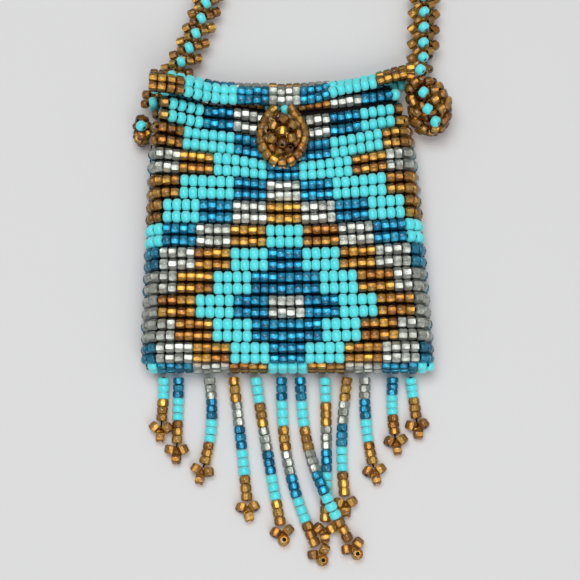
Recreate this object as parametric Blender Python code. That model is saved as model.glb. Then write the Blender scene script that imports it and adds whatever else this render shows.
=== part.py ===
"""A beaded medicine bag with a rolled flap, a bead button, a fringe and a bead rope strap.

The bag lies on its back on the plane z = 0. +X runs across it, +Y runs up to the mouth,
and +Z points out of its front. Every size is in metres.
"""

import functools
import math

import bmesh
import bpy
import numpy as np
from mathutils import Matrix, Vector

MM = 0.001

# Seed beads and the thread between them
BEAD_DIAMETER = 2.1 * MM
CLOTH_BASE = 0.45 * MM  # from the middle of the beadwork out to the valleys between its beads
CLOTH_LINING = 0.9 * MM  # from the middle of the beadwork in to the pocket's side
BEAD_CROWN = 0.6  # share of a bead's length that is at its full height
BACK_CROWN = 0.5  # share of the width of one of the back's rows that is flat
LINING_COLUMNS = 16  # the pocket's side is plain, so its faces are coarser
LINING_ROWS = 8
FLAP_LINING_COLUMNS = 16
COLUMNS = 32
SIDE_COLUMNS = 2  # the front goes on down each side of the pouch by this many
FRONT_ROWS = 25
BACK_ROWS = 24
FLAP_ROWS = 4
GAP = 0.3 * MM  # between neighbouring pieces

# Lines of the beadwork in each of its rows: (share of the row, distance out)
VALLEYS = ((0, CLOTH_BASE),)
ROW_RIBS = (
    (0, CLOTH_BASE),
    ((1 - BACK_CROWN) / 2, BEAD_DIAMETER / 2),
    ((1 + BACK_CROWN) / 2, BEAD_DIAMETER / 2),
)

# How the front's rows and columns are spaced
COLUMN_PITCH_AT_MOUTH = 1.48 * MM
COLUMN_PITCH_AT_FOLD = 1.70 * MM
SIDE_START = 0.8  # share of the half width from which the columns crowd towards the side
ROWS_LOWER = 0.86  # rows that the middle of the front lies below an even spacing
ROWS_SAG = 0.74  # and as many more round the button
ROWS_LEVEL = 7  # higher numbers keep them that low closer to the mouth and to the fold
SAG_ROW = 3.9  # row that sags most
SAG_REACH = 2.65  # rows above and below it that sag with it
ROWS_CORNER = 1.18  # rows that the left corner is pulled up
CORNER_WIDTH = 0.4  # share of the half width over which the pull sets in
CORNER_REACH = 5.6  # rows down to which it is felt

# Outline of the pouch, measured up from just below its bottom fold
FOLD_MIDDLE = 1.8 * MM  # where the middle of the beadwork turns round the fold
HEM_HALF_WIDTH = 26.6 * MM
BAG_HEIGHT = 52.2 * MM
TAPER_LEFT = 1.2 * MM
TAPER_RIGHT = 3.8 * MM
MOUTH_PULL_IN = 1.9 * MM
MOUTH_RISE_LEFT = 1.0 * MM
MOUTH_RISE_RIGHT = 3.7 * MM

# Heights of the middle of the beadwork above the table
CROWN_HEIGHT = 7.5 * MM
SEAM_HEIGHT = 2.75 * MM
MOUTH_HEIGHT = 4.1 * MM
FOLD_ROUNDING = 6 * MM  # how far up the front the rounding of the bottom fold reaches
FOLD_SQUARENESS = 2.5
SIDE_SQUARENESS = 12  # the front is flat nearly to its sides
SIDE_ROUNDNESS = 3
MOUTH_SLOPE = 12 * MM  # length over which the front sinks to its mouth
FLAP_COVERS = 2.7 * MM  # how much of the front lies flat below the flap
BACK_EDGE_RISE = 0.65 * MM
BACK_FOLD_REACH = 2.2 * MM

# Flap, rolled over the mouth
FLAP_LEFT = HEM_HALF_WIDTH - 1.5 * MM
FLAP_RIGHT = HEM_HALF_WIDTH - 4.8 * MM  # its right end leaves room for the strap
FLAP_MIDDLE = -0.5 * MM  # where the middle of its pattern is
FLAP_LINING = 0.75 * MM
FLAP_LAP = 1.3 * MM  # the flat part after the roll
FLAP_AXIS_BELOW_MOUTH = 0.8 * MM

# Button and the loop round it
BUTTON_X = -1.0 * MM
BUTTON_BELOW_MOUTH = 8.6 * MM
BUTTON_Y = BAG_HEIGHT - BUTTON_BELOW_MOUTH
BUTTON_RADIUS = 3.6 * MM
BUTTON_NECK_RADIUS = 2.1 * MM
BUTTON_CAP_HEIGHT = 2.3 * MM
BUTTON_BUMP = 0.3 * MM
LOOP_BEADS = 19
LOOP_HALF_WIDTH = 3.9 * MM
LOOP_HALF_HEIGHT = 5.4 * MM
LOOP_MOUTH_ANGLE = 18  # degrees each side of the loop's top that stay open

# Strap of bead rope
ROPE_DIAMETER = 5.3 * MM
LEFT_KNOB_SIZE = (1.7 * MM, 2.9 * MM, 2.7 * MM)
RIGHT_KNOB_SIZE = (4.1 * MM, 5.6 * MM, 4.3 * MM)
LEFT_KNOB_BELOW_MOUTH = 6.4 * MM
RIGHT_KNOB_BELOW_MOUTH = 1.6 * MM
LIFT_REACH = 11 * MM  # how far the rope under the corner lifts the beadwork beside it
COIL_CENTRE = (5.4 * MM, 119 * MM)
COIL_MIDDLE_RADIUS = 30.5 * MM
STRAP_LEFT_ROUTE = [
    (-25.8, 49.9, 2.66), (-22.6, 54.6, 2.66), (-19.6, 59.5, 2.66), (-17.2, 64.6, 2.66),
    (-15.0, 72.0, 2.66), (-14.2, 79.0, 2.66), (-15.5, 87.2, 2.66),
]  # fmt: skip
STRAP_RIGHT_ROUTE = [
    (24.9, 56.9, 4.6), (25.0, 60.4, 3.4), (25.2, 65.0, 2.9), (25.5, 72.0, 2.7),
    (25.9, 79.0, 3.4), (27.0, 87.4, 5.3),
]  # fmt: skip

# Fringe strands, left to right: column of beads it hangs from, groups of three beads,
# where its tip lies (x, y), and how far its middle bows to the right
FRINGE = [
    (2.6, 2, -22.9, -10.5, 0.1),
    (4.2, 3, -19.9, -14.6, 0.0),
    (7.5, 4, -15.8, -18.2, 1.2),
    (10.1, 5, -6.9, -25.0, 0.1),
    (12.5, 6, -0.6, -29.4, -0.2),
    (15.3, 7, 6.4, -32.9, -2.3),
    (17.3, 7, 12.7, -31.9, -2.8),
    (20.0, 6, 6.5, -28.7, 0.3),
    (22.4, 5, 10.4, -24.0, -0.9),
    (24.3, 4, 15.8, -18.2, -0.7),
    (27.3, 3, 19.5, -12.6, -0.4),
    (29.2, 2, 23.3, -9.8, 0.1),
]
FRINGE_CROSSING = (7, 8)  # the first of these strands lies over the second
HUMP_MIDDLE = 0.66  # share of that strand's length at which it is highest
FRINGE_SIDES = 6
THREAD_WAIST = 0.6  # width of a strand where two beads meet, as a share of the bead's

# Colours of the glass
COLOURS = {
    "crystal": "#D8D2C4",
    "blue": "#0B78B4",
    "turquoise": "#4FD8DC",
    "amber": "#C07A18",
}
STRIPES = ("crystal", "blue", "turquoise", "amber")
STEP_SHIFT = (0, 1, 2, 4, 6, 8, 10)  # how far each step of the pattern moves the stripes
BLOCK_BEADS = 2  # beads along each side of the pattern's blocks


def clear_scene():
    for old in list(bpy.data.objects):
        bpy.data.objects.remove(old, do_unlink=True)


def linear(hex_colour):
    """An sRGB hex colour as linear values with full alpha."""
    parts = [int(hex_colour[i : i + 2], 16) / 255 for i in (1, 3, 5)]
    return [p / 12.92 if p <= 0.04045 else ((p + 0.055) / 1.055) ** 2.4 for p in parts] + [1.0]


def glass_material(name):
    material = bpy.data.materials.new(name + "_glass")
    material.use_nodes = True
    shader = material.node_tree.nodes["Principled BSDF"]
    shader.inputs["Base Color"].default_value = linear(COLOURS[name])
    shader.inputs["Roughness"].default_value = 0.18
    shader.inputs["Metallic"].default_value = 0.0
    return material


def stripe_at(row, column):
    """The colour of one bead: stepped diamonds, mirrored about the middle of the bag."""
    step_row = (row + 1) // BLOCK_BEADS
    step = 6 - abs((step_row + 3) % 12 - 6)
    block = int(abs(column + 0.5 - COLUMNS / 2) // BLOCK_BEADS)
    distance = block + STEP_SHIFT[step]
    if step >= 5 and distance > 12:
        distance -= 1  # the turquoise stripe is one block wider beside the turn
    return STRIPES[((distance + 1) // 2) % 4]


def smooth(share):
    share = min(max(share, 0.0), 1.0)
    return share * share * (3 - 2 * share)


# The shape of the beadwork


def edge_x(y, side):
    """The pouch's outline at this height: side is -1 on the left and 1 on the right."""
    share = max(y, 0.0) / BAG_HEIGHT
    taper = TAPER_LEFT if side < 0 else TAPER_RIGHT
    return side * (HEM_HALF_WIDTH - taper * share - MOUTH_PULL_IN * share**8)


def mouth_rise(x):
    """How much further up the mouth reaches here than at its middle."""
    rise = MOUTH_RISE_LEFT if x < 0 else MOUTH_RISE_RIGHT
    return rise * abs(x / HEM_HALF_WIDTH) ** 1.5


def rope_lift(x, y):
    """How far the strap, which passes below the left corner, lifts the beadwork."""
    start = Vector(STRAP_LEFT_ROUTE[0][:2]) * MM
    end = Vector(STRAP_LEFT_ROUTE[2][:2]) * MM
    along = (end - start).normalized()
    inward = Vector((along.y, -along.x))
    distance = (Vector((x, y)) - start).dot(inward)
    return (ROPE_DIAMETER + GAP) * (1 - smooth(distance / LIFT_REACH))


def even_points(points, count):
    """That many stations along a dense line of points, evenly spaced by length."""
    points = np.asarray(points)
    steps = np.linalg.norm(np.diff(points, axis=0), axis=1)
    length = np.concatenate([[0.0], np.cumsum(steps)])
    wanted = np.linspace(0, length[-1], count)
    return np.stack([np.interp(wanted, length, points[:, k]) for k in range(points.shape[1])], 1)


def front_height(y):
    """Height of the front's middle line: round at the fold, sinking to the mouth."""
    swell = min((y - FOLD_MIDDLE) / FOLD_ROUNDING, 1.0)
    rounded = (1 - (1 - max(swell, 0.0)) ** FOLD_SQUARENESS) ** (1 / FOLD_SQUARENESS)
    rounded = SEAM_HEIGHT + (CROWN_HEIGHT - SEAM_HEIGHT) * rounded
    flat_from = BAG_HEIGHT - FLAP_COVERS
    sunk = smooth((y - flat_from + MOUTH_SLOPE) / MOUTH_SLOPE)
    return rounded - (CROWN_HEIGHT - MOUTH_HEIGHT) * sunk


@functools.lru_cache(maxsize=None)
def front_line():
    """Dense stations (y, z) of the front's middle line, from the mouth to the fold."""
    shares = np.linspace(0, 1, 600) ** 2
    ys = FOLD_MIDDLE + (BAG_HEIGHT - FOLD_MIDDLE) * shares[::-1]
    return even_points([(y, front_height(y)) for y in ys], 401)


def on_line(line, share):
    place = share * (len(line) - 1)
    low = min(int(place), len(line) - 2)
    return line[low] + (line[low + 1] - line[low]) * (place - low)


@functools.lru_cache(maxsize=None)
def front_section(share):
    """Dense stations (x, z) across the front at this share of its length from the mouth."""
    y, middle = on_line(front_line(), share)
    left, right = (edge_x(y, side) - side * BEAD_DIAMETER / 2 for side in (-1, 1))
    turn = np.clip(np.sin(np.linspace(-math.pi / 2, math.pi / 2, 481)), -1, 1)
    side = (1 - np.abs(turn) ** SIDE_SQUARENESS) ** (1 / SIDE_ROUNDNESS)
    x = left + (right - left) * (turn + 1) / 2
    return even_points(np.stack([x, SEAM_HEIGHT + (middle - SEAM_HEIGHT) * side], 1), 201)


def front_surface(across, share):
    """Middle of the front's beadwork: across from -1 to 1, share from mouth to fold."""
    x, z = on_line(front_section(share), (across + 1) / 2)
    y = on_line(front_line(), share)[0] + mouth_rise(x) * (1 - share)
    return Vector((x, y, z + rope_lift(x, y)))


def row_share(row, across):
    """Share of the front's length at which a line of its rows lies."""
    away = 1 - abs(2 * row / FRONT_ROWS - 1) ** ROWS_LEVEL
    sag = ROWS_SAG * (1 - across**2) ** 2 * math.exp(-(((row - SAG_ROW) / SAG_REACH) ** 2))
    corner = ROWS_CORNER * smooth(-across / CORNER_WIDTH) * math.exp(-((row / CORNER_REACH) ** 2))
    return (row + away * (ROWS_LOWER + sag - corner)) / FRONT_ROWS


def spaced(across, share):
    """A place of the front's even grid, moved to where its column and its row hang."""
    share = row_share(share * FRONT_ROWS, across)
    half_length = np.linalg.norm(np.diff(front_section(share), axis=0), axis=1).sum() / 2
    pitch = COLUMN_PITCH_AT_MOUTH + (COLUMN_PITCH_AT_FOLD - COLUMN_PITCH_AT_MOUTH) * share
    widest = pitch * (COLUMNS / 2 + SIDE_COLUMNS) / half_length
    reach = abs(across) * widest
    if reach > SIDE_START:
        reach = SIDE_START + (1 - SIDE_START) * (reach - SIDE_START) / (widest - SIDE_START)
    return math.copysign(reach, across), share


def back_surface(across, share):
    """Middle of the back's beadwork, from the fold up to the flap."""
    resting = BEAD_DIAMETER / 2
    top = BAG_HEIGHT - FLAP_AXIS_BELOW_MOUTH - GAP
    y = FOLD_MIDDLE + (top - FOLD_MIDDLE) * share
    turn = max(1 - (y - FOLD_MIDDLE) / BACK_FOLD_REACH, 0.0)
    x = edge_x(y, -1) + (edge_x(y, 1) - edge_x(y, -1)) * (across + 1) / 2
    x -= across * BEAD_DIAMETER / 2
    y += mouth_rise(x) * share
    fold_rise = (SEAM_HEIGHT - GAP - resting) * (1 - math.sqrt(1 - turn**2))
    edge_rise = BACK_EDGE_RISE * abs(across) ** 12 * (1 - turn)
    return Vector((x, y, resting + fold_rise + edge_rise + rope_lift(x, y)))


def flap_radius():
    """Radius of the flap's roll, so that it clears the front's top row."""
    top = MOUTH_HEIGHT + BEAD_DIAMETER / 2 + GAP + FLAP_LINING
    return (top - BEAD_DIAMETER / 2) / 2


def flap_surface(across, share):
    """Middle of the flap's beadwork: round over the mouth, then a short flat lap."""
    radius = flap_radius()
    length = share * (math.pi * radius + FLAP_LAP)
    angle = min(length / radius, math.pi)
    lap = max(length - math.pi * radius, 0.0)
    end = FLAP_RIGHT - FLAP_MIDDLE if across > 0 else FLAP_LEFT + FLAP_MIDDLE
    x = FLAP_MIDDLE + across * end
    mouth_y = BAG_HEIGHT + mouth_rise(x)
    y = mouth_y - FLAP_AXIS_BELOW_MOUTH + radius * math.sin(angle) - lap
    z = BEAD_DIAMETER / 2 + radius * (1 - math.cos(angle))
    return Vector((x, y, z + rope_lift(x, mouth_y)))


def stand_off(surface, across, share, distance):
    """The point this far out from a surface, along its normal."""
    step = 1e-3
    low_a, high_a = max(across - step, -1), min(across + step, 1)
    low_s, high_s = max(share - step, 0), min(share + step, 1)
    along_width = surface(high_a, share) - surface(low_a, share)
    along_length = surface(across, high_s) - surface(across, low_s)
    normal = along_length.cross(along_width).normalized()
    return surface(across, share) + normal * distance


def front_skin(across, share, distance):
    """A point on the front's outer or inner skin: its rim stays level, clear of the back's."""
    point = stand_off(front_surface, *spaced(across, share), distance)
    point.z = max(point.z, SEAM_HEIGHT + rope_lift(point.x, point.y))
    return point


def back_skin(across, share, distance):
    """A point on the back's skin: its rim stays below the front's, above the table."""
    point = stand_off(back_surface, across, share, distance)
    point.z = min(point.z, SEAM_HEIGHT - GAP + rope_lift(point.x, point.y))
    return point


def flap_skin(across, share, distance):
    return stand_off(flap_surface, across, share, distance)


# Making solids


def grid(bm, columns, rows):
    """A grid of faces, and its vertices by (column, row)."""
    made = bmesh.ops.create_grid(bm, x_segments=columns, y_segments=rows, size=1)["verts"]
    return {(i, j): made[j * (columns + 1) + i] for i in range(columns + 1) for j in range(rows + 1)}


def rim(columns, rows):
    """The (column, row) pairs round a grid's edge, in order."""
    bottom = [(i, 0) for i in range(columns)]
    right = [(columns, j) for j in range(rows)]
    top = [(i, rows) for i in range(columns, 0, -1)]
    left = [(0, j) for j in range(rows, 0, -1)]
    return bottom + right + top + left


def beadwork(bm, skin, columns, rows, lining, inner_columns, inner_rows, profile=VALLEYS):
    """A sheet of beadwork: a fine outer grid, a coarse lining and the walls between them.

    The profile gives the lines of each row: (share of the row, distance out).
    """
    strips = len(profile)
    outer = grid(bm, columns, rows * strips)
    cells = list(bm.faces)
    for (i, j), vertex in outer.items():
        place, distance = profile[j % strips]
        vertex.co = skin(2 * i / columns - 1, (j // strips + place) / rows, distance)
    fine = {i: round(i * columns / inner_columns) for i in range(inner_columns + 1)}
    fine_rows = {j: strips * round(j * rows / inner_rows) for j in range(inner_rows + 1)}
    inner = grid(bm, inner_columns, inner_rows)
    for (i, j), vertex in inner.items():
        across, share = 2 * fine[i] / columns - 1, fine_rows[j] / (rows * strips)
        vertex.co = skin(across, share, -lining)
    edge = rim(columns, rows * strips)
    inner_edge = rim(inner_columns, inner_rows)
    for here, there in zip(inner_edge, inner_edge[1:] + inner_edge[:1]):
        first = edge.index((fine[here[0]], fine_rows[here[1]]))
        last = edge.index((fine[there[0]], fine_rows[there[1]])) or len(edge)
        wall = [outer[edge[k % len(edge)]] for k in range(first, last + 1)]
        bm.faces.new(wall + [inner[there], inner[here]])
    bmesh.ops.recalc_face_normals(bm, faces=bm.faces)
    return cells, outer


def finished(name, bm, materials, smooth_angle=30):
    """The bmesh as an object with its materials, shaded smooth up to this angle."""
    mesh = bpy.data.meshes.new(name)
    bm.to_mesh(mesh)
    bm.free()
    for material in materials:
        mesh.materials.append(material)
    mesh.shade_smooth()
    mesh.set_sharp_from_angle(angle=math.radians(smooth_angle))
    made = bpy.data.objects.new(name, mesh)
    bpy.context.scene.collection.objects.link(made)
    return made


def colour_cells(cells, columns, first_column, first_row, beads_per_cell, strips, glass):
    """Gives each cell the colour of the first bead in it."""
    names = list(glass)
    for index, cell in enumerate(cells):
        column = first_column + (index % columns) * beads_per_cell
        row = first_row + index // (columns * strips)
        cell.material_index = names.index(stripe_at(row, column))


def raise_beads(bm, cells, corners, columns):
    """Each cell becomes one bead: a ridge along its hole, above the valleys round it."""
    for index, cell in enumerate(cells):
        i, j = index % columns, index // columns
        low, high = corners[i, j], corners[i, j + 1]
        next_low, next_high = corners[i + 1, j], corners[i + 1, j + 1]
        start = (low.co + high.co) / 2
        end = (next_low.co + next_high.co) / 2
        middle = (start + end) / 2 + cell.normal * (BEAD_DIAMETER / 2 - CLOTH_BASE)
        reach = (end - start) * BEAD_CROWN / 2
        near, far = bm.verts.new(middle - reach), bm.verts.new(middle + reach)
        slopes = (low, next_low, far, near), (next_high, high, near, far)
        for slope in slopes + ((high, low, near), (next_low, next_high, far)):
            bm.faces.new(slope).material_index = cell.material_index
    bmesh.ops.delete(bm, geom=cells, context="FACES_ONLY")
    bmesh.ops.recalc_face_normals(bm, faces=bm.faces)


def make_front(glass):
    bm = bmesh.new()
    columns = COLUMNS + 2 * SIDE_COLUMNS
    cells, corners = beadwork(
        bm, front_skin, columns, FRONT_ROWS, CLOTH_LINING, LINING_COLUMNS, LINING_ROWS
    )
    colour_cells(cells, columns, -SIDE_COLUMNS, 0, 1, 1, glass)
    raise_beads(bm, cells, corners, columns)
    return finished("front_panel", bm, glass.values())


def make_back(glass):
    """The back: its rows are ribs with flat crowns, because the bag rests on them."""
    bm = bmesh.new()
    columns = COLUMNS // BLOCK_BEADS
    cells, _ = beadwork(
        bm, back_skin, columns, BACK_ROWS, CLOTH_LINING, LINING_COLUMNS, LINING_ROWS, ROW_RIBS
    )
    colour_cells(cells, columns, 0, FRONT_ROWS, BLOCK_BEADS, len(ROW_RIBS), glass)
    return finished("back_panel", bm, glass.values())


def make_flap(glass):
    bm = bmesh.new()
    cells, corners = beadwork(
        bm, flap_skin, COLUMNS, FLAP_ROWS, FLAP_LINING, FLAP_LINING_COLUMNS, FLAP_ROWS
    )
    colour_cells(cells, COLUMNS, 0, FRONT_ROWS + BACK_ROWS, 1, 1, glass)
    raise_beads(bm, cells, corners, COLUMNS)
    return finished("flap", bm, glass.values())


def string_rings(bm, stations, sides):
    """A closed string: one ring of vertices at each (matrix, half width, half height)."""
    ring = bmesh.ops.create_circle(bm, cap_ends=True, segments=sides, radius=1)["verts"]
    shape = [vertex.co.copy() for vertex in ring]
    edges = list(bm.edges)
    bands = []
    for number, (matrix, width, height) in enumerate(stations):
        if number:
            made = bmesh.ops.extrude_edge_only(bm, edges=edges)["geom"]
            ring = [part for part in made if isinstance(part, bmesh.types.BMVert)]
            edges = [part for part in made if isinstance(part, bmesh.types.BMEdge)]
            edges = [edge for edge in edges if all(end in ring for end in edge.verts)]
            bands.append([part for part in made if isinstance(part, bmesh.types.BMFace)])
        for vertex, corner in zip(ring, shape):
            vertex.co = matrix @ Vector((corner.x * width, corner.y * height, 0))
    bmesh.ops.contextual_create(bm, geom=edges)
    bmesh.ops.recalc_face_normals(bm, faces=bm.faces)
    return bands


def frame_along(points, number):
    """Axes at one station of a path: X to its side, Y up, Z along it."""
    ahead = points[min(number + 1, len(points) - 1)] - points[max(number - 1, 0)]
    forward = ahead.normalized()
    sideways = forward.cross(Vector((0, 0, 1))).normalized()
    upward = sideways.cross(forward)
    turn = Matrix((sideways, upward, forward)).transposed()
    return Matrix.Translation(points[number]) @ turn.to_4x4()


def bead_stations(points, beads, picot):
    """Stations of a string of beads, wide in the middle of each bead and thin between."""
    radius = BEAD_DIAMETER / 2
    sizes = [(radius * THREAD_WAIST, radius * THREAD_WAIST)]
    for _ in range(beads):
        sizes += [(radius, radius), (radius * THREAD_WAIST, radius * THREAD_WAIST)]
    if picot:  # two beads side by side, then one at the tip
        sizes += [(2 * radius, radius), (radius, radius), (radius, radius), (radius / 2, radius / 2)]
    path = [Vector(point) for point in even_points(points, len(sizes))]
    return [(frame_along(path, k), *size) for k, size in enumerate(sizes)]


def fringe_colour(bead, beads):
    """Groups of three beads change colour upwards from the tip."""
    order = ("amber", "turquoise", "blue", "crystal")
    return order[((beads - 1 - bead) // 3) % 4]


def fringe_path(number):
    """Dense points down one strand, from below the fold to its tip on the table."""
    column, _, tip_x, tip_y, bow = FRINGE[number - 1]
    resting = BEAD_DIAMETER / 2 + 0.02 * MM
    below_fold = FOLD_MIDDLE - BEAD_DIAMETER / 2 - GAP
    across = 2 * column / COLUMNS - 1
    start = Vector((HEM_HALF_WIDTH * across, below_fold, SEAM_HEIGHT * 0.75))
    tip = Vector((tip_x * MM, tip_y * MM, resting))
    over, under = FRINGE_CROSSING
    points = []
    for share in np.linspace(0, 1, 61):
        point = start.lerp(tip, share)
        point.x += bow * MM * math.sin(math.pi * share)
        point.z = resting + (start.z - resting) * (1 - smooth(share / 0.25))
        if number == over:  # a long low hump over the strand below it
            hump = 1 - abs(share - HUMP_MIDDLE) / (1 - HUMP_MIDDLE)
            point.z += (BEAD_DIAMETER + 2 * GAP) * smooth(hump)
        points.append(point)
    return points


def make_strand(number, glass):
    groups = FRINGE[number - 1][1]
    beads = groups * 3
    bm = bmesh.new()
    stations = bead_stations(fringe_path(number), beads, picot=True)
    names = list(glass)
    for k, band in enumerate(string_rings(bm, stations, FRINGE_SIDES)):
        colour = fringe_colour(k // 2, beads) if k // 2 < beads else "amber"
        for face in band:
            face.material_index = names.index(colour)
    return finished(f"fringe_strand_{number:02d}", bm, glass.values(), 60)


def front_top(x, y):
    """Height of the crowns of the front's beads at this place."""
    line = front_line()
    station = np.interp(-y, -line[:, 0], np.arange(len(line)))
    section = front_section(station / (len(line) - 1))
    return float(np.interp(x, section[:, 0], section[:, 1])) + BEAD_DIAMETER / 2


def make_button(glass):
    """A cluster of beads on a short neck: a turned mushroom with a bead-sized bump at each."""
    seat = front_top(BUTTON_X, BUTTON_Y - BUTTON_NECK_RADIUS) + GAP
    neck_top = seat + BEAD_DIAMETER + GAP
    profile = [
        (BUTTON_NECK_RADIUS, seat),
        (BUTTON_NECK_RADIUS, neck_top),
        (BUTTON_RADIUS * 0.9, neck_top + GAP),
        (BUTTON_RADIUS, neck_top + BUTTON_CAP_HEIGHT * 0.45),
        (BUTTON_RADIUS * 0.62, neck_top + BUTTON_CAP_HEIGHT * 0.88),
    ]
    bm = bmesh.new()
    stations = [
        (Matrix.Translation((BUTTON_X, BUTTON_Y, height)), radius, radius)
        for radius, height in profile
    ]
    string_rings(bm, stations, 14)
    for number, vertex in enumerate(v for v in bm.verts if v.co.z > neck_top + GAP / 2):
        outward = Vector((vertex.co.x - BUTTON_X, vertex.co.y - BUTTON_Y, 0)).normalized()
        vertex.co += outward * BUTTON_BUMP * (-1) ** number
    top = max(bm.faces, key=lambda face: face.calc_center_median().z)
    bmesh.ops.poke(bm, faces=[top], offset=BUTTON_CAP_HEIGHT * 0.12)
    for face in bm.faces:
        face.material_index = list(glass).index("amber")
    return finished("button", bm, glass.values(), 40)


def make_loop(glass):
    """The closing loop: a string of beads from the flap's edge round the button."""
    points = []
    for angle in np.linspace(LOOP_MOUTH_ANGLE, 360 - LOOP_MOUTH_ANGLE, 121):
        turn = math.radians(angle)
        x = BUTTON_X + LOOP_HALF_WIDTH * math.sin(turn)
        y = BUTTON_Y + LOOP_HALF_HEIGHT * math.cos(turn)
        seat = front_top(x, y - BEAD_DIAMETER / 2) + GAP
        points.append(Vector((x, y, seat + BEAD_DIAMETER / 2)))
    bm = bmesh.new()
    string_rings(bm, bead_stations(points, LOOP_BEADS, picot=False), FRINGE_SIDES)
    for face in bm.faces:
        face.material_index = list(glass).index("amber")
    return finished("closure_loop", bm, glass.values(), 60)


def make_knob(name, x, y, size, glass):
    """A sewn end of the bead rope, lying on the table: a round cluster of beads."""
    centre = (x, y, size[2])
    bm = bmesh.new()
    bmesh.ops.create_icosphere(bm, subdivisions=2, radius=1)
    for vertex in bm.verts:
        vertex.co = Vector([place + half * c for place, half, c in zip(centre, size, vertex.co)])
    for number, face in enumerate(bm.faces):
        colour = "turquoise" if number % 5 == 0 else "amber"
        face.material_index = list(glass).index(colour)
    return finished(name, bm, glass.values(), 20)


def smooth_route(points):
    """A smooth curve through hand-picked route points, as dense points."""
    points = [Vector(point) * MM for point in points]
    ends = [2 * points[0] - points[1]] + points + [2 * points[-1] - points[-2]]
    dense = []
    for a, b, c, d in zip(ends, ends[1:], ends[2:], ends[3:]):
        for t in np.linspace(0, 1, 12, endpoint=False):
            pull = 2 * b + (c - a) * t + (2 * a - 5 * b + 4 * c - d) * t**2
            dense.append((pull + (3 * b - a - 3 * c + d) * t**3) / 2)
    return dense + [points[-1]]


def make_rope(name, route, material):
    """A stretch of the strap as a plain tube along its route."""
    dense = smooth_route(route)
    length = sum((b - a).length for a, b in zip(dense, dense[1:]))
    places = even_points(dense, round(length / (2 * ROPE_DIAMETER)) + 2)
    curve = bpy.data.curves.new(name, "CURVE")
    curve.dimensions = "3D"
    curve.bevel_depth = ROPE_DIAMETER / 2
    curve.bevel_resolution = 2
    curve.use_fill_caps = True
    spline = curve.splines.new("POLY")
    spline.points.add(len(places) - 1)
    for point, place in zip(spline.points, places):
        point.co = (*place, 1)
    curve.materials.append(material)
    made = bpy.data.objects.new(name, curve)
    bpy.context.scene.collection.objects.link(made)
    return made


def make_coil(material):
    """The outer shape of the coiled strap: a turned ring two ropes wide and two high."""
    inner = COIL_MIDDLE_RADIUS - ROPE_DIAMETER
    outer = COIL_MIDDLE_RADIUS + ROPE_DIAMETER
    height = 2 * ROPE_DIAMETER
    cut = ROPE_DIAMETER * 0.3
    bm = bmesh.new()
    corners = [
        (inner, cut), (inner + cut, 0), (outer - cut, 0), (outer, cut),
        (outer, height - cut), (outer - cut, height), (inner + cut, height), (inner, height - cut),
    ]  # fmt: skip
    profile = [bm.verts.new((radius, 0, z)) for radius, z in corners]
    edges = [bm.edges.new(pair) for pair in zip(profile, profile[1:] + profile[:1])]
    bmesh.ops.spin(
        bm, geom=profile + edges, axis=(0, 0, 1), cent=(0, 0, 0),
        steps=32, angle=2 * math.pi, use_merge=True,
    )  # fmt: skip
    bmesh.ops.remove_doubles(bm, verts=bm.verts, dist=1e-6)
    bmesh.ops.recalc_face_normals(bm, faces=bm.faces)
    made = finished("strap_coil", bm, [material], 50)
    made.location = (*COIL_CENTRE, 0)
    return made


def centre_on_origin(pieces, carried):
    """Parents everything to one empty that puts the bag's bottom centre on the origin."""
    bpy.context.view_layer.update()
    corners = [piece.matrix_world @ Vector(c) for piece in pieces for c in piece.bound_box]
    low = [min(corner[k] for corner in corners) for k in range(3)]
    high = [max(corner[k] for corner in corners) for k in range(3)]
    base = bpy.data.objects.new("medicine_bag", None)
    bpy.context.scene.collection.objects.link(base)
    for piece in pieces + carried:
        piece.parent = base
    base.location = (-(low[0] + high[0]) / 2, -(low[1] + high[1]) / 2, -low[2])


def main():
    clear_scene()
    glass = {name: glass_material(name) for name in COLOURS}
    left_y = BAG_HEIGHT - LEFT_KNOB_BELOW_MOUTH
    right_y = BAG_HEIGHT - RIGHT_KNOB_BELOW_MOUTH
    left_x = edge_x(left_y, -1) - GAP - LEFT_KNOB_SIZE[0]
    right_x = edge_x(right_y, 1) + 2 * GAP + RIGHT_KNOB_SIZE[0]
    pieces = [
        make_front(glass),
        make_back(glass),
        make_flap(glass),
        make_button(glass),
        make_loop(glass),
        make_knob("strap_end_left", left_x, left_y, LEFT_KNOB_SIZE, glass),
        make_knob("strap_end_right", right_x, right_y, RIGHT_KNOB_SIZE, glass),
    ]
    pieces += [make_strand(number, glass) for number in range(1, len(FRINGE) + 1)]
    carried = [
        make_rope("strap_left", STRAP_LEFT_ROUTE, glass["amber"]),
        make_rope("strap_right", STRAP_RIGHT_ROUTE, glass["amber"]),
        make_coil(glass["amber"]),
    ]
    centre_on_origin(pieces, carried)


main()
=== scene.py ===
"""Looks of the beaded medicine bag: its seed beads with their linings, the threads and the stage."""

import functools
import math
import random

import bmesh
import bpy
import numpy as np
from mathutils import Matrix, Vector


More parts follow.
